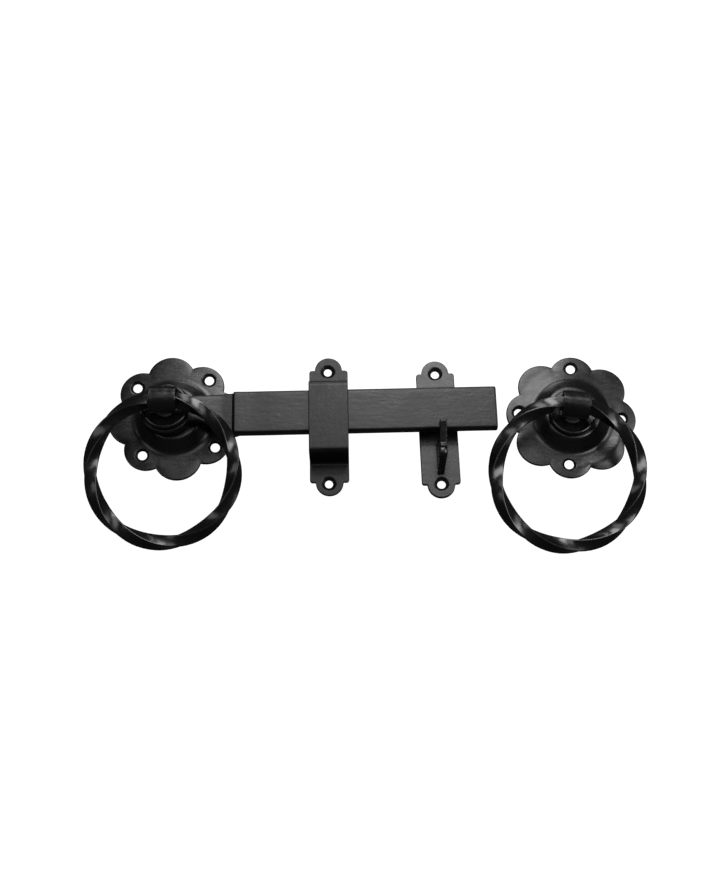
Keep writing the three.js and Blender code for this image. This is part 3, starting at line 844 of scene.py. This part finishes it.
def washer_profile(size, chamfer=0.2):
    """Section of a flat ring with chamfered edges."""
    low, high = size["bottom"], size["bottom"] + size["thickness"]
    inner, outer = size["inner"], size["outer"]
    return [
        (inner, low + chamfer), (inner + chamfer, low),
        (outer - chamfer, low), (outer, low + chamfer),
        (outer, high - chamfer), (outer - chamfer, high),
        (inner + chamfer, high), (inner, high - chamfer),
    ]


def make_washer(side, kind, size, handle):
    made = turned(f"{side}_{kind}_plated", washer_profile(size), segments=72, closed=True)
    place_with(made, handle)
    finish_piece(made, f"{side}_{kind}", handle["body"], PLATED, smooth_angle=30)


def make_clip(side, handle):
    """Spring clip: a flat ring with an open mouth."""
    made = turned(f"{side}_clip_spring", washer_profile(CLIP, 0.15), segments=96, closed=True)
    mouth = CLIP["mouth"]
    gap = prism("mouth", [(-mouth, -20), (mouth, -20), (mouth, 0), (-mouth, 0)], -1, 4)
    combine(made, gap, "DIFFERENCE")
    place_with(made, handle)
    finish_piece(made, f"{side}_retaining_clip", handle["body"], PLATED, smooth_angle=30)


def make_spindle():
    """Square bar with a tapered end that finds the socket."""
    half = SPINDLE_SIDE / 2
    tip, taper_z = half - 1.5, SPINDLE_END_Z + 3
    outline = [
        (-tip, SPINDLE_END_Z), (tip, SPINDLE_END_Z), (half, taper_z), (half, SPINDLE_TOP_Z),
        (-half, SPINDLE_TOP_Z), (-half, taper_z),
    ]
    made = prism("spindle_bar", outline, -half, half, TO_YZ)
    combine(made, prism("other_way", outline, -half, half, TO_XZ), "INTERSECT")
    soften(made, 0.35, segments=3, angle=20)
    place_with(made, OUTER_HANDLE)
    finish_piece(made, "spindle", "outer_handle", PLATED, smooth_angle=30)


def make_cross_pin():
    half, radius, chamfer = CROSS_PIN_LENGTH / 2, CROSS_PIN_RADIUS, 0.2
    pin = turned("cross_pin_plated", [
        (0, -half), (radius - chamfer, -half), (radius, -half + chamfer),
        (radius, half - chamfer), (radius - chamfer, half), (0, half),
    ], segments=32)
    pin.data.transform(Matrix.Rotation(math.pi / 2, 4, "Y"))
    place_at(pin, 0, 0, 0, CROSS_PIN_Z)
    place_with(pin, OUTER_HANDLE)
    finish_piece(pin, "spindle_cross_pin", "outer_handle", PLATED, smooth_angle=30)


# ---- strap and catch --------------------------------------------------------------------------


def shouldered_outline(end):
    """Full width to the end line, then a smaller round end past each shoulder."""
    half, line, radius, shoulder = end["width"] / 2, end["line"], end["radius"], 1.6
    outline = []
    for way in (1, -1):
        first, last = 90 - 90 * way, 270 - 90 * way
        near = arc((way * (half - shoulder), way * (line - shoulder)), shoulder, first, first + 90, 6)
        far = arc((-way * (half - shoulder), way * (line - shoulder)), shoulder, last - 90, last, 6)
        outline += near + arc((0, way * line), radius, first, last, 32) + far
    return outline


def drill_ends(made, end, reach, sheet):
    """Drills both ends; the holes sit a little off the ends' arcs."""
    x, shift = end["hole_shift"]
    for way in (1, -1):
        combine(made, screw_hole(x, way * reach + shift, sheet, end["hole_radius"]), "DIFFERENCE")


def make_strap():
    reach = STRAP_END["line"] + STRAP_END["radius"] + 1
    far, near, top = STRAP_BRIDGE_HALF, STRAP_BRIDGE_HALF + STRAP_NEAR_BULGE, STRAP_TOP_Z
    bend, tight = STRAP_BEND, STRAP_BEND - SHEET
    side = rounded_outline([
        (-reach, 0, 0), (SHEET - near, 0, bend), (SHEET - near, top - SHEET, tight - 0.5),
        (far - SHEET, top - SHEET, tight), (far - SHEET, 0, bend), (reach, 0, 0), (reach, SHEET, 0),
        (far, SHEET, tight), (far, top, bend), (-near, top, bend - 0.5), (-near, SHEET, tight),
        (-reach, SHEET, 0),
    ], steps=10)
    made = prism("guide_strap_bridge", side, -STRAP_END["width"], STRAP_END["width"], TO_YZ)
    combine(made, prism("plan", shouldered_outline(STRAP_END), -5, 30), "INTERSECT")
    soften(made, 0.45)
    drill_ends(made, STRAP_END, STRAP_HOLE_REACH, SHEET)
    place_at(made, STRAP["x"], STRAP["y"], STRAP["turn"])
    finish_piece(made, "guide_strap", "fixed_plates", STRIP)


def tenon_outline(half_width, margin):
    low, high = HOOK_TENON[0] - margin, HOOK_TENON[1] + margin
    return [(-half_width, low), (half_width, low), (half_width, high), (-half_width, high)]


def make_catch_plate():
    made = prism("catch_plate_flat", shouldered_outline(CATCH_END), 0, CATCH_SHEET)
    soften(made, 0.5)
    combine(made, prism("slot", tenon_outline(HOOK_THICKNESS / 2 + 0.1, 0.3), -1, 5), "DIFFERENCE")
    drill_ends(made, CATCH_END, CATCH_HOLE_REACH, CATCH_SHEET)
    place_at(made, CATCH["x"], CATCH["y"], CATCH["turn"])
    finish_piece(made, "catch_plate", "fixed_plates", PRESSED)


def lean_about(made, z):
    """Leans the hook's mesh over towards +X about the level z."""
    lean = Matrix.Rotation(math.radians(HOOK_LEAN), 4, "Y")
    made.data.transform(Matrix.Translation((0, 0, z * MM)) @ lean @ Matrix.Translation((0, 0, -z * MM)))


def make_hook():
    """Blade on edge that stands on the catch plate, its tenon through the slot, with a swollen cheek."""
    foot = CATCH_SHEET + 0.3
    side = rounded_outline([
        (-28.9, foot - 1, 0.8), (-10.5, foot - 1, 0), (-10.5, 18.5, 1.5), (-2.4, 18.5, 1),
        (-2.4, 25.4, 1.6), (-15.2, 20.0, 1.2), (-17.0, 20.7, 0.8), (-23.3, 15, 4),
    ], steps=10)
    half = HOOK_THICKNESS / 2
    blade = prism("catch_hook_blade", side, -half, half, TO_YZ)
    lean_about(blade, foot)
    above = prism("above", [(-30, -60), (30, -60), (30, 30), (-30, 30)], foot, 60)
    combine(blade, above, "INTERSECT")
    combine(blade, prism("tenon", tenon_outline(half - 0.2, 0), 0.3, foot + 1), "UNION")
    soften(blade, 0.5)
    swell = turned("swell", [
        (0, -2.5), (2.9, -2.5), (3.7, -2.2), (4.1, -1.5), (4.2, 0), (4.1, 1.2), (3.6, 1.9),
        (2.9, 2.15), (0, 2.15),
    ], segments=48)
    swell.data.transform(Matrix.Rotation(math.pi / 2, 4, "Y"))
    swell.data.transform(Matrix.Translation(Vector((0, HOOK_SWELL_Y, HOOK_SWELL_Z)) * MM))
    lean_about(swell, foot)
    combine(blade, swell, "UNION")
    place_at(blade, CATCH["x"], CATCH["y"], CATCH["turn"])
    finish_piece(blade, "catch_hook", "fixed_plates", FORGED)


# ---- build ------------------------------------------------------------------------------------

make_camera()
make_stage()
for softbox in SOFTBOXES:
    make_softbox(*softbox)

make_rose("inner_rose", INNER_ROSE, 11)
make_rose("outer_rose", OUTER_ROSE, 12)
make_latch_bar()
make_strap()
make_catch_plate()
make_hook()
make_spindle()
make_cross_pin()
make_washer("inner", "thrust_washer", THRUST_WASHER, INNER_HANDLE)
for side, handle, knuckle_seed in (("inner", INNER_HANDLE, 3), ("outer", OUTER_HANDLE, 8)):
    make_collar(side, handle)
    make_knuckle(side, handle, knuckle_seed)
    make_shank(side, handle)
    make_ring(side, handle)
    make_washer(side, "back_washer", BACK_WASHER, handle)
    make_clip(side, handle)
